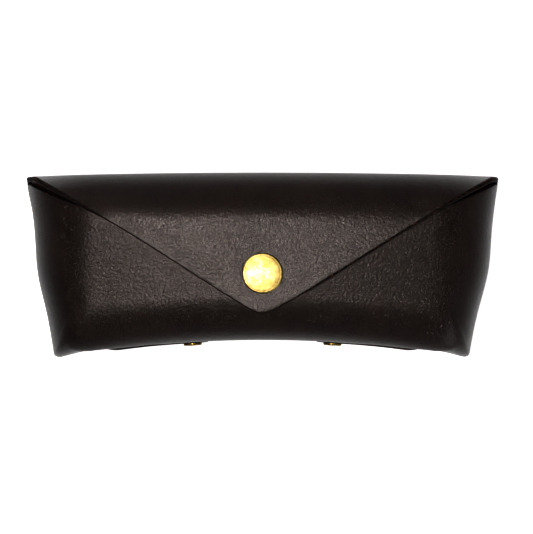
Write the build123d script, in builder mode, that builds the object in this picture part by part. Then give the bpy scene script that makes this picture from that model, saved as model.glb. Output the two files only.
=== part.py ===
from build123d import *
import math
import os

# Soft leather glasses case, lying on its back panel with the snap facing up.
# X runs along the case, +Y points to the folded top edge, +Z points out of the front.
# The origin is under the middle of the closed case. All lengths are millimetres.

os.makedirs("parts", exist_ok=True)

# Leather
LEATHER = 1.8
BACK_TOP_HALF = 87.0
BODY_TOP_HALF = 86.4
BODY_BOTTOM_HALF = 77.4
TOP_Y = 34.1
BACK_TOP_Y = 32.0
CORNER_Y = -34.1
BOTTOM_MID_Y = -27.6
CORNER_CUT = 2.9
BODY_DEPTH = 36.0
FOOT = 3.0
TOP_SHOULDER = 22.0
BOTTOM_SHOULDER = 13.0
BOTTOM_ROUND = 13.0
BOTTOM_RECESS = 1.5
END_WALL_X = 64.0
BOTTOM_SPLIT_Y = -20.5

# Mouth of the pouch, seen from the front
MOUTH_CORNER = (86.6, 30.2)
MOUTH_BEND_OUTER = (58.0, 17.0)
MOUTH_BEND_INNER = (30.0, 10.0)
MOUTH_MID_Y = 10.0

# Flap and its two folds
SNAP_GAP = 2.8
FLAP_HALF = 87.5
FLAP_BOTTOM_HALF = 78.5
FLAP_DEPTH = BODY_DEPTH + SNAP_GAP + LEATHER
FLAP_CORNER = (FLAP_HALF, 33.0)
FLAP_BEND = (53.7, 17.45)
FLAP_TIP_SIDE = (4.5, -16.0)
FLAP_TIP_Y = -17.2
TOP_ROUND = 15.0
STRIP_START_Z = 2.6
FOLD_GAP = 0.4

# Ring snap
SNAP_Y = -2.9
CAP_RADIUS = 7.5
CAP_RIM = 0.9
CAP_DOME = 1.1
CAP_POST_RADIUS = 1.7
SOCKET_RADIUS = 6.2
SOCKET_BORE = 4.3
SOCKET_FLOOR = 0.5
SOCKET_WALL = 1.4
SOCKET_STEP = 0.5
STUD_FLANGE_RADIUS = 5.6
STUD_FLANGE = 0.5
STUD_NECK_RADIUS = 1.8
STUD_HEAD_RADIUS = 2.6
STUD_NECK = 1.05
STUD_HEAD = 0.55
STUD_CHAMFER = 0.3
POST_FLANGE_RADIUS = 6.0
POST_FLANGE = 0.6
POST_RADIUS = 1.3
POST_CLEARANCE = 0.1
SPRING_WIRE = 0.3
SPRING_LEG_Y = 2.2
SPRING_LEG_HALF = 3.3

# Rivets under the bottom
RIVET_X = 26.0
RIVET_CAP_RADIUS = 3.4
RIVET_CAP = 0.9
RIVET_LIFT = 0.15
RIVET_HEAD_RADIUS = 3.0
RIVET_HEAD = 0.8
RIVET_SHANK_RADIUS = 1.2
TAB_WIDTH_INNER = 11.0
TAB_WIDTH_OUTER = 17.0
TAB_NOSE = 5.5
TAB_CORNER = 4.9

# The bottom edge is a shallow arc through its middle and the two corner tips.
CORNER_X = BODY_BOTTOM_HALF - CORNER_CUT
BOTTOM_DROP = BOTTOM_MID_Y - CORNER_Y
BOTTOM_RADIUS = (CORNER_X**2 + BOTTOM_DROP**2) / (2 * BOTTOM_DROP)
BOTTOM_CENTRE_Y = BOTTOM_MID_Y - BOTTOM_RADIUS
RIVET_Z = (BODY_DEPTH - BOTTOM_ROUND) / 2
BIG = 120.0
MARGIN = 1.0
SWEEP_ANGLE = 30.0


def arched_block(top_half, bottom_half, depth, inset):
    """Solid of the pouch's D-shaped end view, narrowing from the top to the bottom."""
    ends = (
        (TOP_Y + MARGIN, top_half, TOP_SHOULDER),
        (CORNER_Y - MARGIN, bottom_half, BOTTOM_SHOULDER),
    )
    with BuildPart() as block:
        for y, half, shoulder in ends:
            side = half - inset
            round_x = shoulder - inset
            crown = depth - inset
            with BuildSketch(Plane.XZ.offset(-y)):
                with BuildLine():
                    Line((-side, FOOT), (-side, 0))
                    Line((-side, 0), (side, 0))
                    Line((side, 0), (side, FOOT))
                    centre = side - round_x
                    EllipticalCenterArc((centre, FOOT), round_x, crown - FOOT, 0, arc_size=90)
                    Line((centre, crown), (-centre, crown))
                    EllipticalCenterArc((-centre, FOOT), round_x, crown - FOOT, 90, arc_size=90)
                make_face()
        loft(ruled=True)
    return block.part


def bottom_block(inset):
    """Everything above the bottom of the pouch, which is hollowed along its middle."""
    half_angle = math.radians(SWEEP_ANGLE / 2)
    start = Plane(
        origin=(0, BOTTOM_CENTRE_Y, 0),
        x_dir=(math.sin(half_angle), math.cos(half_angle), 0),
        z_dir=(math.cos(half_angle), -math.sin(half_angle), 0),
    )
    inner = BOTTOM_RADIUS + inset
    crown = BODY_DEPTH - inset
    round_radius = BOTTOM_ROUND - inset
    with BuildPart() as block:
        with BuildSketch(start):
            with BuildLine():
                ThreePointArc(
                    (inner, 0), (inner + BOTTOM_RECESS, RIVET_Z), (inner, crown - round_radius)
                )
                RadiusArc(
                    (inner, crown - round_radius), (inner + round_radius, crown), round_radius
                )
                Polyline(
                    (inner + round_radius, crown), (inner + BIG, crown),
                    (inner + BIG, 0), (inner, 0),
                )
            make_face()
        revolve(axis=Axis((0, BOTTOM_CENTRE_Y, 0), (0, 0, 1)), revolution_arc=SWEEP_ANGLE)
    return block.part


def pouch_form(inset):
    """Outside (inset 0) or inside (inset LEATHER) of the pouch as one solid."""
    arch = arched_block(BODY_TOP_HALF, BODY_BOTTOM_HALF, BODY_DEPTH, inset)
    return arch & bottom_block(inset)


def mirrored_curve(points):
    """The same points on the other side of the case, in reverse order."""
    return [(-x, y) for x, y in reversed(points)]


def plan_below_mouth():
    """Plan shape of all leather below the mouth edge."""
    right = [MOUTH_CORNER, MOUTH_BEND_OUTER, MOUTH_BEND_INNER, (0, MOUTH_MID_Y)]
    with BuildPart() as prism:
        with BuildSketch():
            with BuildLine():
                Bezier(*right)
                Bezier(*mirrored_curve(right))
                Polyline(
                    (-MOUTH_CORNER[0], MOUTH_CORNER[1]), (-BIG, MOUTH_CORNER[1]),
                    (-BIG, -BIG), (BIG, -BIG), (BIG, MOUTH_CORNER[1]), MOUTH_CORNER,
                )
            make_face()
        extrude(amount=BIG)
    return prism.part


def plan_above_flap_edge():
    """Plan shape of all leather above the cut edge of the flap."""
    right = [FLAP_CORNER, FLAP_BEND, FLAP_TIP_SIDE]
    with BuildPart() as prism:
        with BuildSketch():
            with BuildLine():
                Bezier(*right)
                ThreePointArc(
                    FLAP_TIP_SIDE, (0, FLAP_TIP_Y), (-FLAP_TIP_SIDE[0], FLAP_TIP_SIDE[1])
                )
                Bezier(*mirrored_curve(right))
                Polyline(
                    (-FLAP_CORNER[0], FLAP_CORNER[1]), (-FLAP_HALF - 3 * MARGIN, TOP_Y + 3 * MARGIN),
                    (FLAP_HALF + 3 * MARGIN, TOP_Y + 3 * MARGIN), FLAP_CORNER,
                )
            make_face()
        extrude(amount=BIG)
    return prism.part


def closed_roll(inset):
    """Everything under the flap and its roll over the top edge."""
    top = TOP_Y - inset
    crown = FLAP_DEPTH - inset
    round_radius = TOP_ROUND - inset
    with BuildPart() as block:
        with BuildSketch(Plane.YZ):
            with BuildLine():
                Polyline(
                    (top, crown - round_radius), (top, -BIG), (-BIG, -BIG),
                    (-BIG, crown), (top - round_radius, crown),
                )
                RadiusArc(
                    (top - round_radius, crown), (top, crown - round_radius), round_radius
                )
            make_face()
        extrude(amount=BIG, both=True)
    return block.part


def flap_form(inset):
    """Outside or inside of the flap sheet as one solid."""
    arch = arched_block(FLAP_HALF, FLAP_BOTTOM_HALF, FLAP_DEPTH, inset)
    return arch & closed_roll(inset)


def slab(x_range, y_range, z_range):
    """Axis-aligned cutting box between the given limits."""
    with BuildPart() as box:
        with Locations((sum(x_range) / 2, sum(y_range) / 2, sum(z_range) / 2)):
            Box(
                x_range[1] - x_range[0], y_range[1] - y_range[0], z_range[1] - z_range[0]
            )
    return box.part


def bottom_plane(x):
    """Plane on the hollow of the bottom's outside, its z axis pointing outwards."""
    hollow_radius = BOTTOM_RADIUS + BOTTOM_RECESS
    angle = math.asin(x / hollow_radius)
    return Plane(
        origin=(x, BOTTOM_CENTRE_Y + hollow_radius * math.cos(angle), RIVET_Z),
        x_dir=(0, 0, 1),
        z_dir=(-math.sin(angle), -math.cos(angle), 0),
    )


def save(part, label):
    """Label a finished piece and write it out."""
    part.label = label
    export_step(part, f"parts/{label}.step")


def hole(plane, radius, depth):
    """Round cutter centred on a plane and reaching both ways through the leather."""
    with BuildPart() as cutter:
        with BuildSketch(plane):
            Circle(radius)
        extrude(amount=depth, both=True)
    return cutter.part


# ---------------------------------------------------------------- leather panels
def make_back_panel():
    """Flat back of the pouch, with blunt corners at the bottom."""
    with BuildPart() as panel:
        with BuildSketch():
            with BuildLine():
                ThreePointArc((-CORNER_X, CORNER_Y), (0, BOTTOM_MID_Y), (CORNER_X, CORNER_Y))
                Polyline(
                    (CORNER_X, CORNER_Y), (BODY_BOTTOM_HALF, CORNER_Y + CORNER_CUT),
                    (BACK_TOP_HALF, BACK_TOP_Y), (-BACK_TOP_HALF, BACK_TOP_Y),
                    (-BODY_BOTTOM_HALF, CORNER_Y + CORNER_CUT), (-CORNER_X, CORNER_Y),
                )
            make_face()
        extrude(amount=LEATHER)
    return panel.part


def make_pouch_shell(back_panel):
    """Front, ends and bottom as one thin wall standing on the back panel."""
    above_back = slab((-BIG, BIG), (-BIG, BIG), (LEATHER, BIG))
    shell = pouch_form(0) - pouch_form(LEATHER)
    plan = extrude(back_panel.faces().sort_by(Axis.Z)[-1], amount=BIG)
    return shell & above_back & plan_below_mouth() & plan


def make_rivet_tab(side):
    """Tab of the end wall, folded under the bottom panel and held there by the rivet."""
    plane = bottom_plane(side * RIVET_X)
    with BuildPart() as outline:
        with BuildSketch(Plane.XZ.offset(-BOTTOM_MID_Y - BIG / 2)):
            with BuildLine():
                nose = side * (RIVET_X - TAB_NOSE)
                Polyline(
                    (nose, RIVET_Z - TAB_WIDTH_INNER / 2),
                    (side * END_WALL_X, RIVET_Z - TAB_WIDTH_OUTER / 2),
                    (side * END_WALL_X, RIVET_Z + TAB_WIDTH_OUTER / 2),
                    (nose, RIVET_Z + TAB_WIDTH_INNER / 2),
                    (nose, RIVET_Z - TAB_WIDTH_INNER / 2),
                )
            make_face()
        extrude(amount=BIG)
        nose_edges = outline.edges().filter_by(Axis.Y).group_by(Axis.X)[0 if side > 0 else -1]
        fillet(nose_edges, TAB_CORNER)
    band = bottom_block(-LEATHER) - bottom_block(0)
    tab = outline.part & band & slab((-BIG, BIG), (-BIG, 0), (0, BODY_DEPTH))
    return tab - hole(plane, RIVET_SHANK_RADIUS, 4 * LEATHER)


back_panel = make_back_panel()
pouch_shell = make_pouch_shell(back_panel)
middle_x = (-END_WALL_X, END_WALL_X)
rivet_planes = {
    "left": bottom_plane(-RIVET_X),
    "right": bottom_plane(RIVET_X),
}

bottom_panel = pouch_shell & slab(middle_x, (-BIG, BOTTOM_SPLIT_Y), (0, BIG))
bottom_panel = bottom_panel - [
    hole(plane, RIVET_SHANK_RADIUS, 2 * LEATHER) for plane in rivet_planes.values()
]
front_panel = pouch_shell & slab(middle_x, (BOTTOM_SPLIT_Y, BIG), (0, BIG))
snap_axis_plane = Plane((0, SNAP_Y, BODY_DEPTH))
front_panel = front_panel - hole(snap_axis_plane, POST_RADIUS, 2 * LEATHER)
left_end_wall = pouch_shell & slab((-BIG, -END_WALL_X), (-BIG, BIG), (0, BIG))
right_end_wall = pouch_shell & slab((END_WALL_X, BIG), (-BIG, BIG), (0, BIG))

save(back_panel, "back_panel")
save(bottom_panel, "bottom_panel")
save(front_panel, "front_panel")
save(left_end_wall, "left_end_wall")
save(right_end_wall, "right_end_wall")
save(make_rivet_tab(-1), "left_rivet_tab")
save(make_rivet_tab(1), "right_rivet_tab")


# ---------------------------------------------------------------- flap and top strip
def shoulder_half(towards_flap):
    """Everything on one side of the shoulder bend's middle, short of it by half the gap."""
    bend_y = TOP_Y - TOP_ROUND * (1 - math.sqrt(0.5))
    bend_z = FLAP_DEPTH - TOP_ROUND * (1 - math.sqrt(0.5))
    way = -1 if towards_flap else 1
    cut = Plane(origin=(0, bend_y, bend_z), x_dir=(1, 0, 0), z_dir=(0, way, -way))
    with BuildPart() as side:
        with BuildSketch(cut.offset(FOLD_GAP / 2)):
            Rectangle(2 * BIG, 2 * BIG)
        extrude(amount=BIG)
    return side.part


flap_shell = (flap_form(0) - flap_form(LEATHER)) & plan_above_flap_edge()
strip_room = slab((-BIG, BIG), (-BIG, BIG), (STRIP_START_Z, BIG))
top_strip = flap_shell & strip_room & shoulder_half(False)
flap = flap_shell & strip_room & shoulder_half(True)
flap = flap - hole(snap_axis_plane.offset(SNAP_GAP), CAP_POST_RADIUS, 2 * LEATHER)
save(top_strip, "top_strip")
save(flap, "flap")


# ---------------------------------------------------------------- snap
def make_snap_cap():
    """Domed cap on the flap with its hollow post through the leather."""
    outside = FLAP_DEPTH
    dome_edge = CAP_RADIUS - CAP_RIM / 2
    dome_radius = (dome_edge**2 + CAP_DOME**2) / (2 * CAP_DOME)
    with BuildPart() as cap:
        with BuildSketch(Plane.XZ.offset(-SNAP_Y)):
            with BuildLine():
                Polyline(
                    (0, outside - LEATHER), (CAP_POST_RADIUS, outside - LEATHER),
                    (CAP_POST_RADIUS, outside), (CAP_RADIUS, outside),
                    (CAP_RADIUS, outside + CAP_RIM / 2),
                    (dome_edge, outside + CAP_RIM),
                )
                RadiusArc(
                    (dome_edge, outside + CAP_RIM),
                    (0, outside + CAP_RIM + CAP_DOME),
                    -dome_radius,
                )
                Line((0, outside + CAP_RIM + CAP_DOME), (0, outside - LEATHER))
            make_face()
        revolve(axis=Axis((0, SNAP_Y, 0), (0, 0, 1)))
    return cap.part


def make_snap_socket():
    """Ring on the inside of the flap, open towards the stud."""
    inside = FLAP_DEPTH - LEATHER
    with BuildPart() as socket:
        with BuildSketch(Plane((0, SNAP_Y, inside - SOCKET_FLOOR))):
            Circle(SOCKET_RADIUS)
        extrude(amount=SOCKET_FLOOR)
        with BuildSketch(Plane((0, SNAP_Y, inside - SOCKET_FLOOR - SOCKET_WALL))):
            Circle(SOCKET_RADIUS - SOCKET_STEP)
            Circle(SOCKET_BORE, mode=Mode.SUBTRACT)
        extrude(amount=SOCKET_WALL)
    return socket.part


def make_snap_spring():
    """Two straight wire legs that pass beside the stud's neck and grip its head."""
    wire_z = FLAP_DEPTH - LEATHER - SOCKET_FLOOR - SOCKET_WALL + SPRING_WIRE
    with BuildPart() as spring:
        for side in (-1, 1):
            leg = Plane(
                origin=(-SPRING_LEG_HALF, SNAP_Y + side * SPRING_LEG_Y, wire_z),
                x_dir=(0, 1, 0),
                z_dir=(1, 0, 0),
            )
            with BuildSketch(leg):
                Circle(SPRING_WIRE)
            extrude(amount=2 * SPRING_LEG_HALF)
    return spring.part


def make_snap_stud():
    """Mushroom stud on the outside of the front panel."""
    neck_top = STUD_FLANGE + STUD_NECK
    with BuildPart() as stud:
        with BuildSketch(snap_axis_plane):
            Circle(STUD_FLANGE_RADIUS)
        extrude(amount=STUD_FLANGE)
        with BuildSketch(snap_axis_plane.offset(STUD_FLANGE)):
            Circle(STUD_NECK_RADIUS)
        extrude(amount=STUD_NECK)
        with BuildSketch(snap_axis_plane.offset(neck_top)):
            Circle(STUD_HEAD_RADIUS)
        extrude(amount=STUD_HEAD)
        chamfer(stud.faces().sort_by(Axis.Z)[-1].edges(), STUD_CHAMFER)
        with BuildSketch(snap_axis_plane):
            Circle(POST_RADIUS)
        extrude(amount=neck_top, mode=Mode.SUBTRACT)
    return stud.part


def make_snap_post():
    """Post that passes from inside the pouch through the front panel into the stud."""
    base = snap_axis_plane.offset(-LEATHER - POST_FLANGE)
    with BuildPart() as post:
        with BuildSketch(base):
            Circle(POST_FLANGE_RADIUS)
        extrude(amount=POST_FLANGE)
        fillet(post.faces().sort_by(Axis.Z)[0].edges(), POST_FLANGE / 3)
        with BuildSketch(base):
            Circle(POST_RADIUS)
        extrude(amount=POST_FLANGE + LEATHER + STUD_FLANGE + STUD_NECK - POST_CLEARANCE)
    return post.part


save(make_snap_cap(), "snap_cap")
save(make_snap_socket(), "snap_socket")
save(make_snap_spring(), "snap_spring")
save(make_snap_stud(), "snap_stud")
save(make_snap_post(), "snap_post")


# ---------------------------------------------------------------- rivets
def make_rivet_cap(plane):
    """Low round cap on the outside of the tab."""
    with BuildPart() as cap:
        with BuildSketch(plane.offset(LEATHER + RIVET_LIFT)):
            Circle(RIVET_CAP_RADIUS)
        extrude(amount=RIVET_CAP)
        outer_face = cap.faces().filter_by(GeomType.PLANE).sort_by(Axis.Y)[0]
        fillet(outer_face.edges(), 0.6 * RIVET_CAP)
    return cap.part


def make_rivet_post(plane):
    """Flat head inside the pouch with a shank through the bottom panel and the tab."""
    inside = plane.offset(-LEATHER - RIVET_HEAD)
    with BuildPart() as post:
        with BuildSketch(inside):
            Circle(RIVET_HEAD_RADIUS)
        extrude(amount=RIVET_HEAD)
        with BuildSketch(inside):
            Circle(RIVET_SHANK_RADIUS)
        extrude(amount=RIVET_HEAD + 2 * LEATHER)
    return post.part


for side_name, rivet_plane in rivet_planes.items():
    save(make_rivet_cap(rivet_plane), f"{side_name}_rivet_cap")
    save(make_rivet_post(rivet_plane), f"{side_name}_rivet_post")
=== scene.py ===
import math

import bpy
import numpy as np
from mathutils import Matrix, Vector, noise


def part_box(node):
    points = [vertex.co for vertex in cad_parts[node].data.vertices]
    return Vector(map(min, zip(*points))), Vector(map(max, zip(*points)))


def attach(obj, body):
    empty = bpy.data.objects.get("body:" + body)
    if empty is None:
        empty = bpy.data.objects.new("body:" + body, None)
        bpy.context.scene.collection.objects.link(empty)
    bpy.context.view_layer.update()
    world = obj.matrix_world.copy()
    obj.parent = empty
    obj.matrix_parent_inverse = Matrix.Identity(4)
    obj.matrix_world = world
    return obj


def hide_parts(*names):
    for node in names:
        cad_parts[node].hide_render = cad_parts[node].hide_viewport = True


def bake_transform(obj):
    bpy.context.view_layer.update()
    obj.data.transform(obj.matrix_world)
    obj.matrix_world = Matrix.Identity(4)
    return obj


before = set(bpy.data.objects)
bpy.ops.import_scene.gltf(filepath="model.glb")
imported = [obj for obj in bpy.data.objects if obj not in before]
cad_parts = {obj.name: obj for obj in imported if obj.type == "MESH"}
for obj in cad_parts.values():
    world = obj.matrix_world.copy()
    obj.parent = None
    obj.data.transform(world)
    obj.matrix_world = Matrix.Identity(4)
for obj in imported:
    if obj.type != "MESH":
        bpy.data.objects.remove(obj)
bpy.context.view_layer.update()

MM = 0.001


def limits(node):
    """Lowest and highest corner of a CAD node, in millimetres."""
    low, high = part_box(node)
    return np.array(low) / MM, np.array(high) / MM


def middle(node):
    """Centre of a CAD node's box, in millimetres."""
    return sum(limits(node)) / 2


# ------------------------------------------------------------ sizes from the frame, mm
LEATHER = limits("back_panel")[1][2]
BACK_HALF = limits("back_panel")[1][0]
TOP_Y = limits("top_strip")[1][1]
CORNER_Y = limits("back_panel")[0][1]
FLAP_TIP_Y = limits("flap")[0][1]
FRONT_Z = limits("snap_stud")[0][2]
FLAP_Z = limits("flap")[1][2]
SNAP_X, SNAP_Y = middle("snap_cap")[:2]
RIVET_X, RIVET_Z = middle("right_rivet_cap")[[0, 2]]
CAP_RADIUS = (limits("snap_cap")[1][0] - limits("snap_cap")[0][0]) / 2

# ------------------------------------------------------------ outline of the pouch, mm
# Each side's half width: at WIDTH_Y, its taper, and its belly's size, middle and reach along y.
WIDTH_Y = 24.3
WIDTH = {-1: (86.2, 0.15, 1.5, -3.0, 13.0), 1: (86.7, 0.17, 1.8, -2.0, 14.0)}
MOUTH = np.array(((86.5, 29.7), (58.0, 15.8), (30.0, 10.0), (0.0, 10.0)))
BOTTOM_MID_Y = -27.6
BOTTOM_CORNER_X = 74.5
# The bottom is hollowed along its middle, as far as HOLLOW_END_X, and the hollow fades out there.
BOTTOM_RECESS = 1.5
HOLLOW_END_X = 66.0
HOLLOW_FADE = 10.0

# ------------------------------------------------------------ section of the pouch, mm
FOOT_RADIUS = 3.0
TOP_SHOULDER = 27.0
BOTTOM_SHOULDER = 16.0
# Below 1, the round shoulder runs softly into the front.
SOFT_SHOULDER = 0.8
# Top corners of the pouch widen over WIDEN_REACH to meet the fold piece.
WIDEN_REACH = 12.0
# Where the bottom bends: how far in it reaches, and how high above the bottom it starts.
FRONT_BEND = 13.0
END_BEND = 3.0
BACK_ROUND = 2.0
FRONT_RISE = 18.0
CORNER_RISE = 20.0
END_RISE = 2.4

# ------------------------------------------------------------ front of the pouch, mm
# The front swells by PILLOW at its middle and falls from there by CROWN at CROWN_X.
PILLOW = 0.9
CROWN = 3.8
CROWN_X = 66.0
# Below LEAN_TOP_Y it slopes down towards the bottom.
LEAN = 0.07
LEAN_TOP_Y = 14.0
LEAN_BLEND = 4.0
# Reach along x and y over which the snap holds the front at its own height.
HOLD_X = 17.0
HOLD_Y = 13.0
# Hand-made unevenness of the front and the flap: height, size of the lumps, and how it starts.
UNEVEN = 0.16
UNEVEN_SIZE = 27.0
UNEVEN_SEED = 3.7
# Square of the distance within which the snap keeps the leather even.
SNAP_STILL = 260.0

# ------------------------------------------------------------ join of pouch and fold, mm
JOIN_Y = 27.0
JOIN_CORNER_Y = 29.3
JOIN_TURN_X = 78.0

# ------------------------------------------------------------ shape of the flap, mm
FLAP_HALF = BACK_HALF + 0.5
FLAP_SHOULDER = 29.0
FLAP_FOOT_Z = 5.2
FOOT_X = FLAP_HALF - FOOT_RADIUS
# The cut edge: slope of its sides, bluntness of its tip, and how the left side is fuller.
EDGE_SLOPE = 0.63
TIP_BLUNT = 3.4
LEFT_FULL = 1.0
LEFT_FULL_X = 40.0
CORNER_DIP = 1.5
# The fold off the back, the roll over the top edge, and how the top edge bows down at its ends.
FOLD_ROUND = 4.5
TOP_ROUND = 15.0
TOP_ROLL = 18.0
TOP_BOW = 1.3
CORNER_RETREAT = 1.3
# The flap sheet is divided at this height, where the fold piece ends and the flap piece starts.
SPLIT_Z = 14.0
# How the flap settles on the front: dished round the snap, down at its left edge, up at its right.
DISH = 0.8
DISH_REACH = 32.0
DISH_SPAN_Y = 24.0
EDGE_SAG = 0.5
EDGE_LIFT = 0.4
EDGE_REACH = 7.0
TIP_REACH = 15.0
CAP_PRESS = 0.12
FLAP_GAP = 0.4
# How far the cut edges bulge, and how much more where the flap's edge is thick.
EDGE_ROUND = 0.3
EDGE_SWELL = 0.6


def smooth(t):
    """Smooth step from 0 to 1."""
    t = np.clip(t, 0.0, 1.0)
    return t * t * (3 - 2 * t)


def bell(value, middle, width):
    """Bell curve of height 1."""
    return np.exp(-(((value - middle) / width) ** 2))


def ripple(x, y, size, seed):
    """Slow unevenness between about -1 and 1, the same at every run."""
    pairs = zip(np.ravel(x) / size, np.ravel(y) / size)
    values = [noise.noise(Vector((a + seed, b - seed, seed))) for a, b in pairs]
    return np.reshape(values, np.shape(x))


def handmade(x, y):
    """Small hollows and swells of the front and of the flap that lies on it."""
    off_snap = 1 - np.exp(-((x - SNAP_X) ** 2 + (y - SNAP_Y) ** 2) / SNAP_STILL)
    return UNEVEN * ripple(x, y, UNEVEN_SIZE, UNEVEN_SEED) * off_snap


# ------------------------------------------------------------ leather as a mesh
def weld(points, quads, loop):
    """Joins points in the same place, so a quad may get a repeated corner."""
    keys = np.round(points, 3) + 0.0
    _, first, same = np.unique(keys, axis=0, return_index=True, return_inverse=True)
    same = same.ravel()
    return points[first], same[quads], same[loop]


def vertex_normals(points, quads):
    """Unit normal of the sheet at each point."""
    a, b, c, d = (points[quads[:, k]] for k in range(4))
    faces = np.cross(c - a, d - b)
    total = np.zeros_like(points)
    for k in range(4):
        np.add.at(total, quads[:, k], faces)
    return total / np.maximum(np.linalg.norm(total, axis=1, keepdims=True), 1e-9)


def grid_quads(rows, columns, closed=False):
    """Quads of a grid of points that are numbered row by row."""
    across = columns if closed else columns - 1
    i, j = np.meshgrid(np.arange(rows - 1), np.arange(across), indexing="ij")
    i, j = i.ravel(), j.ravel()
    after = (j + 1) % columns
    corners = (i * columns + j, i * columns + after)
    opposite = ((i + 1) * columns + after, (i + 1) * columns + j)
    return np.stack(corners + opposite, 1)


def grid_border(rows, columns):
    """Point numbers round an open grid, in order."""
    first = list(range(columns))
    right = [r * columns + columns - 1 for r in range(1, rows)]
    last = [(rows - 1) * columns + k for k in range(columns - 2, -1, -1)]
    left = [r * columns for r in range(rows - 2, 0, -1)]
    return np.array(first + right + last + left)


def drop_flat_faces(faces, kinds):
    """Turns quads with a repeated corner into triangles, and leaves out what has no area."""
    faces = [tuple(dict.fromkeys(int(v) for v in face)) for face in faces]
    kinds = [kind for kind, face in zip(kinds, faces) if len(face) > 2]
    return [face for face in faces if len(face) > 2], kinds


def distance_to(points, targets):
    """Distance from each point to the nearest target."""
    gaps = np.empty(len(points))
    block = 3000
    for start in range(0, len(points), block):
        part = points[start:start + block]
        gaps[start:start + block] = np.linalg.norm(part[:, None] - targets[None], axis=2).min(axis=1)
    return gaps


GRAIN, EDGE, FLESH = 0, 1, 2
RIM_ANGLES = np.radians((22, 45, 68, 90, 112, 135, 158))
RIM_SQUARE = 0.6


def edge_directions(points, quads, normals, loop):
    """Directions out of the sheet along its rim, and whether the rim runs the other way round."""
    along = points[np.roll(loop, -1)] - points[np.roll(loop, 1)]
    outward = np.cross(along, normals[loop])
    outward /= np.maximum(np.linalg.norm(outward, axis=1, keepdims=True), 1e-9)
    sample = len(loop) // 3
    start = points[loop[sample]]
    centres = points[quads].mean(axis=1)
    near = centres[np.argmin(np.linalg.norm(centres - start, axis=1))]
    flip = np.dot(outward[sample], start - near) < 0
    return (-outward if flip else outward), flip


def keep_edges_crisp(mesh):
    """Marks the lines where the flesh side meets the grain side or a cut edge as sharp."""
    beside = {}
    for face in mesh.polygons:
        for key in face.edge_keys:
            beside.setdefault(key, set()).add(face.material_index)
    for line in mesh.edges:
        line.use_edge_sharp = beside[tuple(sorted(line.vertices))] in ({GRAIN, FLESH}, {EDGE, FLESH})


def leather_shell(name, points, quads, loop, roundness, outside):
    """A sheet of leather: grain side, flesh side one thickness further in, and the rim between.

    loop runs along the rim, and roundness says how far the cut edge bulges at each of its
    points; 0 is a flat joint with the next piece. outside is roughly where the grain side faces.
    """
    points, quads, loop = weld(points, quads, loop)
    normals = vertex_normals(points, quads)
    if np.dot(normals.sum(axis=0), outside) < 0:
        quads = quads[:, ::-1]
        normals = -normals
    keep = loop != np.roll(loop, 1)
    loop = loop[keep]
    roundness = roundness[keep]
    count = len(points)
    size = len(loop)
    outward, flip = edge_directions(points, quads, normals, loop)
    rim = []
    for angle in RIM_ANGLES:
        swing = math.copysign(abs(math.cos(angle)) ** RIM_SQUARE, math.cos(angle))
        level = 0.5 * LEATHER * (swing - 1)
        bulge = (roundness * math.sin(angle))[:, None]
        rim.append(points[loop] + normals[loop] * level + outward * bulge)
    everything = np.concatenate([points, points - LEATHER * normals, *rim])
    faces = [tuple(q) for q in quads] + [tuple(q[::-1] + count) for q in quads]
    kinds = [GRAIN] * len(quads) + [FLESH] * len(quads)
    rings = [loop] + [2 * count + k * size + np.arange(size) for k in range(len(rim))] + [loop + count]
    for upper, lower in zip(rings, rings[1:]):
        for k in range(size):
            n = (k + 1) % size
            quad = (upper[k], lower[k], lower[n], upper[n])
            faces.append(quad[::-1] if flip else quad)
            kinds.append(EDGE if max(roundness[k], roundness[n]) > 0 else FLESH)
    faces, kinds = drop_flat_faces(faces, kinds)
    mesh = bpy.data.meshes.new(name)
    mesh.from_pydata((everything * MM).tolist(), [], faces)
    mesh.polygons.foreach_set("material_index", kinds)
    mesh.shade_smooth()
    keep_edges_crisp(mesh)
    rest = mesh.attributes.new("rest", "FLOAT_VECTOR", "POINT")
    rest.data.foreach_set("vector", everything.astype(np.float32).ravel())
    cut = everything[np.concatenate([ring[roundness > 0] for ring in rings[1:-1]])]
    gap = mesh.attributes.new("edge_gap", "FLOAT", "POINT")
    gap.data.foreach_set("value", distance_to(everything, cut[::3]).astype(np.float32))
    piece = bpy.data.objects.new(name, mesh)
    bpy.context.scene.collection.objects.link(piece)
    return piece


# ------------------------------------------------------------ pouch surface
def half_width(y, side):
    """Half the pouch's width at y; its ends belly out a little below the middle."""
    half, taper, belly, belly_y, reach = WIDTH[side]
    return half + taper * (y - WIDTH_Y) + belly * bell(y, belly_y, reach)


def shoulder_width(y):
    """Width at y of the round shoulder between an end and the front."""
    share = (y - CORNER_Y) / (TOP_Y - CORNER_Y)
    return BOTTOM_SHOULDER + (TOP_SHOULDER - BOTTOM_SHOULDER) * share


def front_height(x, y):
    """Height of the front: crowned along the case, sloping to the bottom, held level by the snap."""
    slope = LEAN * LEAN_BLEND * np.log1p(np.exp((LEAN_TOP_Y - y) / LEAN_BLEND))
    free = FRONT_Z + PILLOW - CROWN * (x / CROWN_X) ** 2 - slope
    held = np.exp(-(((x - SNAP_X) / HOLD_X) ** 2) - ((y - SNAP_Y) / HOLD_Y) ** 2)
    return free + (FRONT_Z - free) * held


def bottom_level(x, z):
    """y of the bottom's outside: an arc along the case, hollowed along its middle."""
    drop = BOTTOM_MID_Y - CORNER_Y
    radius = (BOTTOM_CORNER_X**2 + drop**2) / (2 * drop)
    arc = BOTTOM_MID_Y - (radius - np.sqrt(radius**2 - np.asarray(x) ** 2))
    across = np.clip(1 - ((z - RIVET_Z) / RIVET_Z) ** 4, 0, 1)
    return arc + BOTTOM_RECESS * across * (1 - smooth((np.abs(x) - HOLLOW_END_X) / HOLLOW_FADE))


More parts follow.
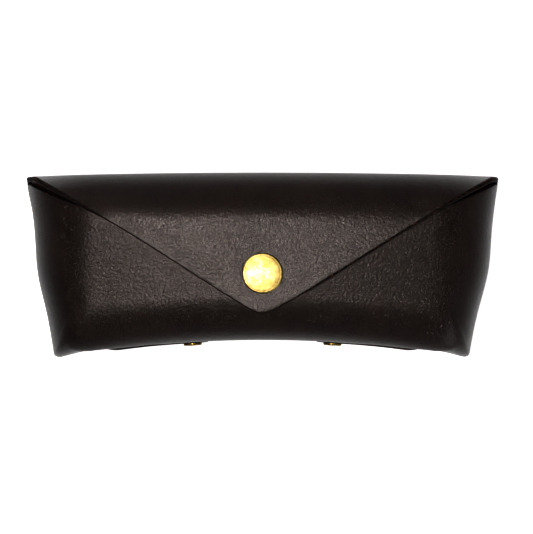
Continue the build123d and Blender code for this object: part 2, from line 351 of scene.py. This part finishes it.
def mouth_level(x):
    """y of the pouch's mouth edge over x."""
    t = np.linspace(0, 1, 200)[:, None]
    weights = ((1 - t) ** 3, 3 * t * (1 - t) ** 2, 3 * t**2 * (1 - t), t**3)
    curve = sum(weight * point for weight, point in zip(weights, MOUTH))
    return np.interp(np.abs(x), curve[::-1, 0], curve[::-1, 1])


def join_level(x):
    """y of the line across the back where the pouch piece meets the fold piece."""
    rise = np.clip((np.abs(x) - JOIN_TURN_X) / (FOOT_X - JOIN_TURN_X), 0, 1)
    return JOIN_Y + (JOIN_CORNER_Y - JOIN_Y) * rise


BACK_STEPS = 48
FOOT_STEPS = 8
ARCH_STEPS = 31
CROWN_STEPS = 25
WALL_ROWS = 42
ROUND_ROWS = 18
BOTTOM_ROWS = 10
# Rounds that settle a level which depends on itself through the pouch's width, and first guesses.
SETTLE_ROUNDS = 14
FIRST_TOP_Y = 20.0
FIRST_LOW_Y = -30.0


def half_section():
    """Stations round the right half of the section, from back centre to front centre."""
    stations = [("back", k / BACK_STEPS) for k in range(BACK_STEPS + 1)]
    stations += [("foot", k / FOOT_STEPS) for k in range(1, FOOT_STEPS + 1)]
    stations += [("arch", k / ARCH_STEPS) for k in range(1, ARCH_STEPS + 1)]
    stations += [("crown", k / CROWN_STEPS) for k in range(1, CROWN_STEPS + 1)]
    return stations


def station_point(kind, t, y, side, top):
    """x and z of the pouch's outside at one station; it widens at the top to meet the fold."""
    wide = half_width(y, side)
    low_share = {"back": 1.0, "foot": 1.0, "arch": 1 - smooth(t / 0.2), "crown": 0.0}[kind]
    wide = wide + (FLAP_HALF - half_width(top, side)) * low_share * (1 - smooth((top - y) / WIDEN_REACH))
    shoulder = shoulder_width(y)
    angle = t * math.pi / 2
    if kind == "back":
        return side * t * (wide - FOOT_RADIUS), 0 * y
    if kind == "foot":
        x = side * (wide - FOOT_RADIUS * (1 - math.sin(angle)))
        return x, FOOT_RADIUS * (1 - math.cos(angle)) + 0 * y
    if kind == "arch":
        x = wide - shoulder * (1 - max(math.cos(angle), 0.0) ** SOFT_SHOULDER)
        crest = front_height(x, y)
        return side * x, FOOT_RADIUS + (crest - FOOT_RADIUS) * math.sin(angle)
    x = side * (wide - shoulder) * (1 - t)
    return x, front_height(x, y)


def bend_rise(kind, t):
    """Height above the bottom at which a station starts to bend into it; most at the front's corners."""
    if kind in ("back", "foot"):
        return BACK_ROUND
    if kind == "arch":
        return END_RISE + (CORNER_RISE - END_RISE) * float(smooth((t - 0.15) / 0.85))
    return FRONT_RISE + (CORNER_RISE - FRONT_RISE) * (1 - t) ** 2


def wall_line(kind, t, side):
    """Points down one station of the pouch, from its top edge to where the bottom bend starts."""
    if kind == "back":
        top = float(join_level(t * FOOT_X))
    elif kind == "foot":
        top = JOIN_CORNER_Y
    else:
        top = FIRST_TOP_Y
        for _ in range(SETTLE_ROUNDS):
            x, _z = station_point(kind, t, top, side, top)
            top = 0.5 * (top + float(mouth_level(x)))
    low = FIRST_LOW_Y
    for _ in range(SETTLE_ROUNDS):
        x, z = station_point(kind, t, low, side, top)
        low = 0.5 * (low + float(bottom_level(x, z)) + bend_rise(kind, t))
    y = np.linspace(top, low, WALL_ROWS)
    x, z = station_point(kind, t, y, side, top)
    return np.stack([x + 0 * y, y, z + 0 * y], 1)


def make_pouch():
    """Back, ends, front and bottom as one bent sheet, open at the mouth."""
    half = half_section()
    stations = [(kind, t, 1) for kind, t in half]
    stations += [(kind, t, -1) for kind, t in reversed(half[1:-1])]
    count = len(stations)
    rows = list(np.array([wall_line(*station) for station in stations]).transpose(1, 0, 2))
    rim = rows[-1][:, [0, 2]]
    shrink = 1 - (BACK_ROUND + FRONT_BEND) / rim[:, 1].max()
    inner_x = rim[:, 0] * (1 - END_BEND / np.abs(rim[:, 0]).max())
    inner = np.stack([inner_x, BACK_ROUND + rim[:, 1] * shrink], 1)
    rise = np.array([bend_rise(kind, t) for kind, t, _side in stations])
    for turn in np.linspace(0, math.pi / 2, ROUND_ROWS + 1)[1:]:
        ring = rim + (inner - rim) * (1 - math.cos(turn))
        y = bottom_level(ring[:, 0], ring[:, 1]) + rise * (1 - math.sin(turn))
        rows.append(np.stack([ring[:, 0], y, ring[:, 1]], 1))
    opposite = (count // 2 - np.arange(count)) % count
    spine = (ring + ring[opposite]) / 2
    for share in np.linspace(0, 1, BOTTOM_ROWS + 1)[1:]:
        inner = ring + (spine - ring) * share
        rows.append(np.stack([inner[:, 0], bottom_level(inner[:, 0], inner[:, 1]), inner[:, 1]], 1))
    points = np.array(rows)
    front = smooth((points[..., 2] - 12) / 20) * smooth((points[..., 1] + 30) / 12)
    points[..., 2] += handmade(points[..., 0], points[..., 1]) * front
    roundness = np.array([0.0 if kind == "back" else EDGE_ROUND for kind, _t, _side in stations])
    quads = grid_quads(len(rows), count, closed=True)
    return leather_shell(
        "leather_pouch", points.reshape(-1, 3), quads, np.arange(count), roundness, (0, -1, 0)
    )


# ------------------------------------------------------------ rivet tabs
TAB_ROWS = 26
TAB_RINGS = 6
TAB_NOSE = 5.5
TAB_SPREAD = 0.02
TAB_DROP = 2.6
TAB_DROP_REACH = 36.0
TAB_END_X = 66.0
TAB_END_INSET = 6.0
# The tab's outer end sinks into the bottom, where it turns into the end wall.
TAB_SINK = 1.0
TAB_SINK_REACH = 13.0
TAB_GAP = 0.05


def make_tab(name, side):
    """End of an end wall, folded under the bottom and riveted to it at its nose."""
    turn = np.linspace(0, math.pi / 2, 11)
    nose = np.stack([RIVET_X - TAB_NOSE * np.cos(turn), TAB_NOSE * np.sin(turn)], 1)
    run = np.linspace(RIVET_X, TAB_END_X, TAB_ROWS)[1:]
    sides = np.stack([run, TAB_NOSE + TAB_SPREAD * (run - RIVET_X)], 1)
    upper = np.concatenate([nose, sides])
    end_half = upper[-1][1]
    end = np.stack([np.full(9, TAB_END_X), np.linspace(end_half, -end_half, 11)[1:-1]], 1)
    lower = upper[::-1][:-1] * (1, -1)
    outline = np.concatenate([upper, end, lower])
    spine = np.stack([np.clip(outline[:, 0], RIVET_X, TAB_END_X - TAB_END_INSET), 0 * outline[:, 0]], 1)
    rings = [outline + (spine - outline) * share for share in np.linspace(0, 1, TAB_RINGS + 1)]
    grid = np.array(rings)
    x = grid[..., 0]
    z = grid[..., 1] + RIVET_Z - TAB_DROP * smooth((x - RIVET_X) / TAB_DROP_REACH)
    sink = smooth((x - TAB_END_X + TAB_SINK_REACH) / TAB_SINK_REACH)
    proud = bottom_level(x, z) - LEATHER - TAB_GAP
    y = proud + (bottom_level(x, RIVET_Z) + TAB_SINK - proud) * sink
    points = np.stack([side * x, y, z], 2).reshape(-1, 3)
    count = len(outline)
    roundness = np.full(count, EDGE_ROUND)
    return leather_shell(
        name, points, grid_quads(len(rings), count, closed=True), np.arange(count), roundness, (0, -1, 0)
    )


# ------------------------------------------------------------ flap surface
def flap_edge_level(x):
    """y of the flap's cut edge: a blunt tip and long, nearly straight sides."""
    across = np.abs(x) + np.where(x < 0, LEFT_FULL, 0.0) * smooth(np.abs(x) / LEFT_FULL_X)
    level = FLAP_TIP_Y + EDGE_SLOPE * (np.sqrt(across**2 + TIP_BLUNT**2) - TIP_BLUNT)
    return level - CORNER_DIP * (across / FLAP_HALF) ** 6


FLAT_STEPS = 44
SHOULDER_STEPS = 26
END_STEPS = 10
BEND_ROWS = 16
FOLD_ROWS = 30
FLAP_ROWS = 66
# Rounds that settle the angle of the shoulder at which the flap sheet is divided, and a first guess.
SPLIT_ROUNDS = 20
FIRST_SPLIT_ANGLE = 1.3


def flap_drop(x):
    """How far the flap's crest is below its middle; it follows half of the front's crown."""
    return 0.5 * CROWN * (x / CROWN_X) ** 2


def flap_columns():
    """x and crest height of each column of the right half, and how many reach the split."""
    flat_x = FLAP_HALF - FLAP_SHOULDER
    rise = FLAP_Z - FLAP_FOOT_Z
    split_angle = FIRST_SPLIT_ANGLE
    for _ in range(SPLIT_ROUNDS):
        split_x = flat_x + FLAP_SHOULDER * math.sin(split_angle) ** SOFT_SHOULDER
        split_angle = math.acos((SPLIT_Z - FLAP_FOOT_Z) / (rise - flap_drop(split_x)))
    angles = list(np.linspace(0, split_angle, SHOULDER_STEPS + 1)[1:])
    angles += list(np.linspace(split_angle, math.pi / 2, END_STEPS + 1)[1:])
    flat = [flat_x * (k / FLAT_STEPS) ** 1.3 for k in range(FLAT_STEPS + 1)]
    columns = [(x, FLAP_Z - flap_drop(x)) for x in flat]
    for angle in angles:
        x = flat_x + FLAP_SHOULDER * math.sin(angle) ** SOFT_SHOULDER
        columns.append((x, FLAP_FOOT_Z + (rise - flap_drop(x)) * math.cos(angle)))
    return columns, FLAT_STEPS + SHOULDER_STEPS + 1


def settled(x, y, z, edge):
    """Height of the flap once it has settled on the front."""
    from_snap = (x - SNAP_X) ** 2 + (y - SNAP_Y) ** 2
    dish = DISH * (1 - np.exp(-from_snap / DISH_REACH**2)) * bell(y, SNAP_Y, DISH_SPAN_Y)
    edge_drop = EDGE_SAG if x < 0 else -EDGE_LIFT
    sag = edge_drop * bell(y, edge, EDGE_REACH) * (1 - math.exp(-((x / TIP_REACH) ** 2)))
    press = CAP_PRESS * np.exp(-((from_snap / CAP_RADIUS**2) ** 2))
    lowest = front_height(x, y) + LEATHER + FLAP_GAP
    return np.maximum(z + dish - sag - press, np.minimum(lowest, z))


def flap_section(x, crest):
    """Fine y, z line along the flap sheet at x, from the join on the back to the cut edge.

    Also returns how many of its points belong to the join and the bend off the back.
    """
    over_foot = np.clip((abs(x) - FOOT_X) / FOOT_RADIUS, 0, 1)
    start_z = FOOT_RADIUS * (1 - math.sqrt(1 - over_foot**2))
    end_share = max(0.0, (SPLIT_Z - crest) / (SPLIT_Z - FLAP_FOOT_Z))
    top = TOP_Y - TOP_BOW * (x / FLAP_HALF) ** 2 - CORNER_RETREAT * end_share**2
    edge = min(float(flap_edge_level(x)), top - 0.25)
    room = crest - start_z
    fold = min(FOLD_ROUND, 0.5 * room)
    round_z = min(TOP_ROUND, 0.5 * room)
    strip_top = crest - round_z
    lower_top = top - 0.5 * room / FLAP_Z
    over = math.acos(max(1 - (top - edge) / TOP_ROLL, 0))
    roll_end = top - TOP_ROLL * (1 - math.cos(over))
    flat = np.linspace(float(join_level(x)), JOIN_CORNER_Y, 5)[:-1]
    turn = np.linspace(0, math.pi / 2, 24)
    share = np.linspace(0, 1, 14)[1:]
    roll = np.linspace(0, over, 24)[1:]
    run = np.linspace(0, roll_end - edge, 60)[1:]
    y = np.concatenate([
        flat,
        JOIN_CORNER_Y + (lower_top - JOIN_CORNER_Y) * np.sin(turn),
        lower_top + (top - lower_top) * np.sin(share * math.pi / 2),
        top - TOP_ROLL * (1 - np.cos(roll)),
        roll_end - run,
    ])
    z = np.concatenate([
        np.full(len(flat), start_z),
        start_z + fold * (1 - np.cos(turn)),
        start_z + fold + (strip_top - start_z - fold) * share,
        strip_top + round_z * np.sin(roll) / math.sin(over),
        np.full(len(run), crest),
    ])
    on_front = smooth((z - strip_top) / max(round_z, 0.1)) * (1 - smooth((abs(x) - 58) / 20))
    z = z + (settled(x, y, z, edge) - z) * on_front
    return np.stack([y, z], 1), len(flat) + len(turn)


def distances(line):
    """Distance along a line at each of its points."""
    return np.concatenate([[0], np.cumsum(np.linalg.norm(np.diff(line, axis=0), axis=1))])


def stretch(line, start, end, count):
    """count points spread evenly over a line between two distances along it."""
    run = distances(line)
    at = np.linspace(start, end, count)
    return np.stack([np.interp(at, run, line[:, k]) for k in range(2)], 1)


def flap_rows(which):
    """Grid of points of the lower ("fold") or upper ("flap") part of the flap sheet."""
    columns, reach = flap_columns()
    rows = FOLD_ROWS if which == "fold" else FLAP_ROWS
    last = len(columns) if which == "fold" else reach
    lines = []
    for index in range(1 - last, last):
        x, crest = columns[abs(index)]
        x = math.copysign(x, index)
        line, bend_points = flap_section(x, crest)
        run = distances(line)
        bend_end, split = run[bend_points - 1], run[-1]
        if abs(index) < reach - 1:
            above = int(np.argmax(line[:, 1] >= SPLIT_Z))
            share = (SPLIT_Z - line[above - 1, 1]) / (line[above, 1] - line[above - 1, 1])
            split = run[above - 1] + share * (run[above] - run[above - 1])
        if which == "fold":
            lower = stretch(line, 0, bend_end, BEND_ROWS)
            part = np.concatenate([lower, stretch(line, bend_end, split, rows - BEND_ROWS + 1)[1:]])
        else:
            part = stretch(line, split, run[-1], rows)
        lines.append(np.column_stack([np.full(rows, x), part]))
    points = np.array(lines).transpose(1, 0, 2)
    on_front = smooth((points[..., 2] - 22) / 14)
    points[..., 2] += handmade(points[..., 0], points[..., 1]) * on_front
    return points, reach


def make_flap_part(name, which, outside):
    """Lower or upper part of the flap sheet; its cut edge is thick on the right and at the corners."""
    points, reach = flap_rows(which)
    rows, columns = points.shape[:2]
    loop = grid_border(rows, columns)
    past = np.abs(loop % columns - (columns - 1) // 2) >= reach - 1
    cut = (loop // columns > 0) & (past | (which == "flap"))
    edge_x = points.reshape(-1, 3)[loop, 0]
    swell = np.maximum(smooth((edge_x - 6) / 16), smooth((-edge_x - 52) / 16))
    roundness = np.where(cut, EDGE_ROUND + EDGE_SWELL * swell, 0.0)
    points = points.reshape(-1, 3)
    return leather_shell(name, points, grid_quads(rows, columns), loop, roundness, outside)


# ------------------------------------------------------------ snap cap
CAP_ROLL = 0.75
CAP_FALL = 0.55
CAP_STEM = 1.7


def make_cap():
    """Pressed brass cap: low dome, faint rim bead and centre ring, rolled edge, solid post below."""
    foot, peak = (corner[2] for corner in limits("snap_cap"))
    base = FLAP_Z + 0.02
    radius = np.linspace(0, CAP_RADIUS - CAP_ROLL, 40)
    dome = peak - CAP_FALL * (radius / CAP_RADIUS) ** 2.4
    dome = dome - 0.03 * bell(radius, 1.5, 0.35) + 0.015 * bell(radius, 6.1, 0.4)
    turn = np.linspace(0.32, math.pi, 14)
    edge_z = (dome[-1] + FLAP_Z) / 2 + 0.05
    edge_half = dome[-1] - edge_z
    edge_r = CAP_RADIUS - CAP_ROLL + CAP_ROLL * np.sin(turn)
    edge = np.stack([edge_r, edge_z + edge_half * np.cos(turn) / math.cos(turn[0])], 1)
    edge[-1] = (CAP_RADIUS - CAP_ROLL, base)
    stem = np.array(((CAP_STEM, base), (CAP_STEM, foot + 0.15), (CAP_STEM - 0.15, foot), (0.0, foot)))
    profile = np.concatenate([np.stack([radius, dome], 1), edge, stem])
    count = 96
    angle = np.linspace(0, 2 * math.pi, count + 1)[:-1]
    around = np.stack([np.cos(angle), np.sin(angle), 0 * angle], 1)
    rows = [(SNAP_X, SNAP_Y, z) + r * around for r, z in profile]
    points = np.concatenate(rows)
    points, quads, _ = weld(points, grid_quads(len(rows), count, closed=True), np.arange(count))
    faces, _ = drop_flat_faces(quads[:, ::-1], range(len(quads)))
    mesh = bpy.data.meshes.new("brass_cap")
    mesh.from_pydata((points * MM).tolist(), [], faces)
    mesh.shade_smooth()
    cap = bpy.data.objects.new("brass_cap", mesh)
    bpy.context.scene.collection.objects.link(cap)
    return cap


# ------------------------------------------------------------ materials
def set_input(tree, node, key, value):
    """Links an input to another node's output, or gives it a fixed value."""
    if isinstance(value, bpy.types.NodeSocket):
        tree.links.new(value, node.inputs[key])
    else:
        node.inputs[key].default_value = value


def add_node(tree, kind, inputs=(), **settings):
    """Adds a node with its settings and inputs."""
    node = tree.nodes.new(kind)
    for key, value in settings.items():
        setattr(node, key, value)
    for key, value in dict(inputs).items():
        set_input(tree, node, key, value)
    return node


class Nodes:
    """Short way to write a node material."""

    def __init__(self, name):
        self.material = bpy.data.materials.new(name)
        self.material.use_nodes = True
        self.tree = self.material.node_tree
        self.shader = self.tree.nodes["Principled BSDF"]

    def add(self, kind, inputs=(), **settings):
        return add_node(self.tree, kind, inputs, **settings)

    def stretched(self, where, scale, turn=0.0):
        """The same place, scaled along each axis and turned about z."""
        inputs = {"Vector": where, "Scale": scale, "Rotation": (0.0, 0.0, turn)}
        return self.add("ShaderNodeMapping", inputs).outputs[0]

    def noise(self, where, size, detail=4.0, roughness=0.55, distortion=0.0):
        """Noise whose lumps are about size millimetres across."""
        inputs = {"Vector": where, "Scale": 1 / size, "Detail": detail, "Roughness": roughness,
                  "Distortion": distortion}
        return self.add("ShaderNodeTexNoise", inputs).outputs["Fac"]

    def cells(self, where, size, feature="F1"):
        """Cell pattern with cells about size millimetres across."""
        node = self.add("ShaderNodeTexVoronoi", {"Vector": where, "Scale": 1 / size}, feature=feature)
        return node.outputs["Distance"]

    def span(self, value, low, high, to_low=0.0, to_high=1.0):
        """Maps low..high to to_low..to_high, clamped."""
        inputs = {0: value, 1: low, 2: high, 3: to_low, 4: to_high}
        return self.add("ShaderNodeMapRange", inputs).outputs[0]

    def math(self, operation, a, b):
        return self.add("ShaderNodeMath", {0: a, 1: b}, operation=operation).outputs[0]

    def mix(self, factor, a, b):
        node = self.add("ShaderNodeMix", {0: factor, 6: a, 7: b}, data_type="RGBA")
        return node.outputs[2]

    def bump(self, height, depth, before=None):
        """Bump whose full height is depth millimetres."""
        inputs = {"Height": height, "Distance": depth * MM, "Strength": 1.0}
        node = self.add("ShaderNodeBump", inputs)
        if before is not None:
            set_input(self.tree, node, "Normal", before)
        return node.outputs["Normal"]

    def rest(self):
        """Place on the unbent leather, in millimetres, which stays put as the leather bends."""
        return self.add("ShaderNodeAttribute", attribute_name="rest").outputs["Vector"]

    def edge_gap(self):
        """Distance to the nearest cut edge, in millimetres."""
        return self.add("ShaderNodeAttribute", attribute_name="edge_gap").outputs["Fac"]

    def place(self):
        """Place on a rigid CAD piece, in millimetres."""
        where = self.add("ShaderNodeTexCoord").outputs["Object"]
        return self.stretched(where, (1 / MM, 1 / MM, 1 / MM))

    def finish(self, colour, roughness, normal, **constants):
        """Connects the shader; constants are set on its own sockets."""
        set_input(self.tree, self.shader, "Base Color", colour)
        set_input(self.tree, self.shader, "Roughness", roughness)
        set_input(self.tree, self.shader, "Normal", normal)
        for key, value in constants.items():
            self.shader.inputs[key.replace("_", " ")].default_value = value
        return self.material


def rgb(red, green, blue):
    """Opaque colour."""
    return (red, green, blue, 1.0)


def make_grain_side():
    """Smooth waxed cowhide: near-black brown, with fine grain, clouding, pores, light scuffs and painted
    shade along its cut edges.
    """
    m = Nodes("leather_grain_side")
    where = m.rest()
    cloud = m.noise(where, 22.0, 5.0, 0.6, 0.6)
    fine_cloud = m.noise(where, 4.0, 6.0, 0.65)
    pebble = m.cells(where, 0.62, "DISTANCE_TO_EDGE")
    small = m.noise(where, 0.32, 3.0)
    pores = m.cells(where, 1.7)
    scuff = m.span(m.noise(m.stretched(where, (0.25, 1.0, 1.0), 0.5), 2.6, 8.0, 0.75), 0.66, 0.72)
    # Painted shade: the grain side darkens within 1.6 mm of every cut edge, most at the edge itself.
    painted_edge_shade = m.span(m.edge_gap(), 0.0, 1.6, 1.0, 0.0)
    deep, warm = rgb(0.0135, 0.0070, 0.0056), rgb(0.0235, 0.0125, 0.0090)
    colour = m.mix(m.span(cloud, 0.35, 0.7), deep, warm)
    colour = m.mix(m.math("MULTIPLY", m.span(fine_cloud, 0.45, 0.75), 0.5), colour, warm)
    colour = m.mix(m.math("MULTIPLY", scuff, 0.18), colour, rgb(0.060, 0.040, 0.028))
    # Painted shade: mixes the grain towards near-black next to the cut edges.
    colour = m.mix(m.math("MULTIPLY", painted_edge_shade, 0.55), colour, rgb(0.0060, 0.0032, 0.0025))
    roughness = m.span(fine_cloud, 0.3, 0.75, 0.28, 0.35)
    roughness = m.math("ADD", roughness, m.math("MULTIPLY", scuff, 0.12))
    grain = m.math("ADD", m.span(pebble, 0.0, 0.09), m.math("MULTIPLY", small, 0.7))
    grain = m.math("ADD", grain, m.math("MULTIPLY", m.span(pores, 0.0, 0.12), 0.5))
    normal = m.bump(grain, 0.040)
    normal = m.bump(m.noise(where, 1.0, 2.0, 0.6, 0.2), 0.11, normal)
    normal = m.bump(fine_cloud, 0.06, normal)
    return m.finish(colour, roughness, normal, Specular_IOR_Level=0.5)


def make_cut_edge():
    """Burnished cut edge: dark, with rubbed brown specks and faint fibre lines."""
    m = Nodes("leather_cut_edge")
    where = m.rest()
    layer = m.noise(m.stretched(where, (0.6, 0.6, 2.2)), 0.8, 5.0)
    speck = m.span(m.noise(where, 0.9, 6.0, 0.7), 0.56, 0.64)
    colour = m.mix(m.span(layer, 0.35, 0.7), rgb(0.0030, 0.0017, 0.0013), rgb(0.0080, 0.0042, 0.0028))
    colour = m.mix(m.math("MULTIPLY", speck, 0.75), colour, rgb(0.150, 0.062, 0.024))
    roughness = m.span(layer, 0.3, 0.7, 0.52, 0.78)
    normal = m.bump(layer, 0.05)
    normal = m.bump(m.noise(where, 0.25, 3.0), 0.02, normal)
    return m.finish(colour, roughness, normal, Specular_IOR_Level=0.2)


def make_flesh_side():
    """Suede flesh side: dull brown, brushed and fibrous."""
    m = Nodes("leather_flesh_side")
    where = m.rest()
    cloud = m.noise(where, 14.0, 6.0, 0.65, 0.8)
    nap = m.noise(where, 0.7, 8.0, 0.75)
    colour = m.mix(m.span(cloud, 0.3, 0.7), rgb(0.020, 0.0110, 0.0075), rgb(0.050, 0.029, 0.019))
    colour = m.mix(m.math("MULTIPLY", m.span(nap, 0.45, 0.8), 0.6), colour, rgb(0.082, 0.050, 0.034))
    normal = m.bump(nap, 0.12)
    roughness = m.span(nap, 0.3, 0.7, 0.82, 1.0)
    return m.finish(colour, roughness, normal, Sheen_Weight=0.25, Sheen_Roughness=0.5)


def make_brass(name, darkest, rub):
    """Antiqued brass: mottled olive-gold, pitted and cloudy, brighter where it is rubbed."""
    m = Nodes(name)
    where = m.place()
    blotch = m.noise(where, 2.6, 6.0, 0.65, 0.7)
    fleck = m.noise(where, 0.5, 6.0, 0.7)
    pits = m.cells(where, 0.55)
    colour = m.mix(m.span(blotch, 0.35, 0.66), darkest, rub)
    colour = m.mix(m.math("MULTIPLY", m.span(fleck, 0.52, 0.7), 0.45), colour, rgb(0.90, 0.80, 0.42))
    roughness = m.span(blotch, 0.3, 0.7, 0.42, 0.32)
    roughness = m.math("ADD", roughness, m.span(fleck, 0.45, 0.7, 0.0, 0.10))
    normal = m.bump(m.span(pits, 0.0, 0.25), 0.012)
    normal = m.bump(blotch, 0.05, normal)
    return m.finish(colour, roughness, normal, Metallic=1.0)


def make_spring_steel():
    """Bright drawn wire with faint draw marks."""
    m = Nodes("spring_wire_steel")
    where = m.place()
    draw = m.noise(m.stretched(where, (0.2, 2.0, 2.0)), 0.3, 4.0)
    colour = m.mix(m.span(draw, 0.3, 0.7), rgb(0.38, 0.38, 0.40), rgb(0.62, 0.62, 0.63))
    return m.finish(colour, m.span(draw, 0.3, 0.7, 0.22, 0.40), m.bump(draw, 0.004), Metallic=1.0)


def make_floor_paper():
    """Plain white photo paper with a faint tooth."""
    m = Nodes("white_paper")
    where = m.place()
    tooth = m.noise(where, 0.8, 4.0)
    colour = m.mix(m.span(tooth, 0.3, 0.7), rgb(0.88, 0.88, 0.88), rgb(0.92, 0.92, 0.92))
    normal = m.bump(tooth, 0.01)
    return m.finish(colour, 0.9, normal, Emission_Color=rgb(1, 1, 1), Emission_Strength=0.85)


# ------------------------------------------------------------ stage
FLOOR_REACH = 6.0
WALL_RADIUS = 5.5
WALL_HEIGHT = 6.0
SKY_DIM = 0.035


def make_floor(material):
    """Square of white paper; it stays level with the case's flat back."""
    cells = 24
    steps = np.linspace(-FLOOR_REACH, FLOOR_REACH, cells + 1)
    points = [(float(x), float(y), 0.0) for y in steps for x in steps]
    mesh = bpy.data.meshes.new("paper_floor")
    mesh.from_pydata(points, [], [tuple(int(v) for v in q) for q in grid_quads(cells + 1, cells + 1)])
    mesh.materials.append(material)
    floor = bpy.data.objects.new("paper_floor", mesh)
    floor.location.z = -0.00005
    bpy.context.scene.collection.objects.link(floor)
    floor.visible_glossy = False


def make_backdrop(material):
    """Round white wall far behind the floor, only there to be seen."""
    count = 96
    turn = np.linspace(0, 2 * math.pi, count + 1)[:-1]
    ring = WALL_RADIUS * np.stack([np.cos(turn), np.sin(turn)], 1)
    points = [(float(x), float(y), float(z)) for z in (-0.1, WALL_HEIGHT) for x, y in ring]
    mesh = bpy.data.meshes.new("paper_backdrop")
    mesh.from_pydata(points, [], [tuple(int(v) for v in q) for q in grid_quads(2, count, closed=True)])
    mesh.materials.append(material)
    wall = bpy.data.objects.new("paper_backdrop", mesh)
    bpy.context.scene.collection.objects.link(wall)
    wall.visible_glossy = False
    wall.visible_diffuse = False
    wall.visible_shadow = False


def aim(thing, target):
    """Turns a light towards a point."""
    thing.rotation_euler = (Vector(target) - thing.location).to_track_quat("-Z", "Y").to_euler()


def make_softbox(name, place, size, power, colour=(1, 1, 1)):
    """Rectangular light that faces the case."""
    light = bpy.data.lights.new(name, "AREA")
    light.shape = "RECTANGLE"
    light.size, light.size_y = size
    light.energy = power
    light.color = colour
    lamp = bpy.data.objects.new(name, light)
    lamp.location = place
    aim(lamp, (0, 0, 0))
    bpy.context.scene.collection.objects.link(lamp)


def make_camera():
    """Looks straight down on the case from a long way off, like a tabletop product shot."""
    lens = bpy.data.cameras.new("camera")
    camera = bpy.data.objects.new("camera", lens)
    distance = 1.80
    view_width = 0.19806
    focus = Vector((0.00149, -0.00064, 0.006))
    camera.location = focus + Vector((0, 0, distance))
    camera.rotation_euler = (0, 0, 0)
    lens.sensor_fit = "HORIZONTAL"
    lens.sensor_width = 36.0
    lens.lens = lens.sensor_width * distance / view_width
    lens.clip_start = 0.01
    lens.clip_end = 20.0
    bpy.context.scene.collection.objects.link(camera)
    bpy.context.scene.camera = camera


def make_sky():
    """Dim surroundings overhead, and the paper's glow from below, weaker at the two ends."""
    world = bpy.data.worlds.new("studio")
    world.use_nodes = True
    tree = world.node_tree

    where = add_node(tree, "ShaderNodeTexCoord").outputs["Generated"]
    split = add_node(tree, "ShaderNodeSeparateXYZ", {0: where}).outputs
    along = add_node(tree, "ShaderNodeMath", {0: split["X"]}, operation="ABSOLUTE").outputs[0]
    ends = {0: along, 1: 0.35, 2: 0.85, 3: 1.15, 4: 0.15}
    below = {0: split["Z"], 1: -0.45, 2: 0.05, 3: 1.0, 4: 0.0}
    parts = [add_node(tree, "ShaderNodeMapRange", inputs).outputs[0] for inputs in (below, ends)]
    glow = add_node(tree, "ShaderNodeMath", {0: parts[0], 1: parts[1]}, operation="MULTIPLY").outputs[0]
    strength = add_node(tree, "ShaderNodeMath", {0: glow, 1: SKY_DIM}, operation="ADD").outputs[0]
    background = tree.nodes["Background"]
    background.inputs["Color"].default_value = (1, 1, 1, 1)
    tree.links.new(strength, background.inputs["Strength"])
    bpy.context.scene.world = world


# ------------------------------------------------------------ assembly
def dress(piece, materials):
    """Gives a piece its materials, in slot order."""
    for material in materials:
        piece.data.materials.append(material)


make_camera()
make_sky()
make_softbox("key_softbox", (-0.21, 0.0, 2.40), (0.36, 0.36), 37.0, (1.0, 0.88, 0.82))
make_softbox("back_left_fill", (-1.25, 1.35, 0.62), (1.50, 0.70), 9.0)
make_softbox("front_right_fill", (1.35, -1.30, 0.50), (1.50, 0.70), 8.0)
paper = make_floor_paper()
make_floor(paper)
make_backdrop(paper)

leather = [make_grain_side(), make_cut_edge(), make_flesh_side()]
pouch = make_pouch()
left_tab = make_tab("leather_left_tab", -1)
right_tab = make_tab("leather_right_tab", 1)
fold = make_flap_part("leather_top_fold", "fold", (0, 1, 0))
flap = make_flap_part("leather_flap", "flap", (0, 1, 1))
for piece in (pouch, left_tab, right_tab, fold, flap):
    dress(piece, leather)

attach(pouch, "root")
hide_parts("back_panel", "bottom_panel", "front_panel", "left_end_wall", "right_end_wall")
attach(left_tab, "root")
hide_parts("left_rivet_tab")
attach(right_tab, "root")
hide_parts("right_rivet_tab")
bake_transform(fold)
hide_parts("top_strip")
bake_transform(flap)
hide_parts("flap")

cap = make_cap()
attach(cap, "flap")
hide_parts("snap_cap")
cap_brass = make_brass("snap_cap_brass", rgb(0.36, 0.285, 0.085), rgb(0.66, 0.56, 0.235))
works_brass = make_brass("fastener_brass", rgb(0.17, 0.115, 0.030), rgb(0.46, 0.33, 0.10))
cap.data.materials.append(cap_brass)
steel = make_spring_steel()
for node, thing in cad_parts.items():
    if node == "snap_spring":
        thing.material_slots[0].material = steel
    elif node.startswith("snap") or "_rivet_cap" in node or "_rivet_post" in node:
        thing.material_slots[0].material = works_brass

bpy.context.scene.view_settings.view_transform = "Standard"
bpy.context.scene.view_settings.gamma = 0.75
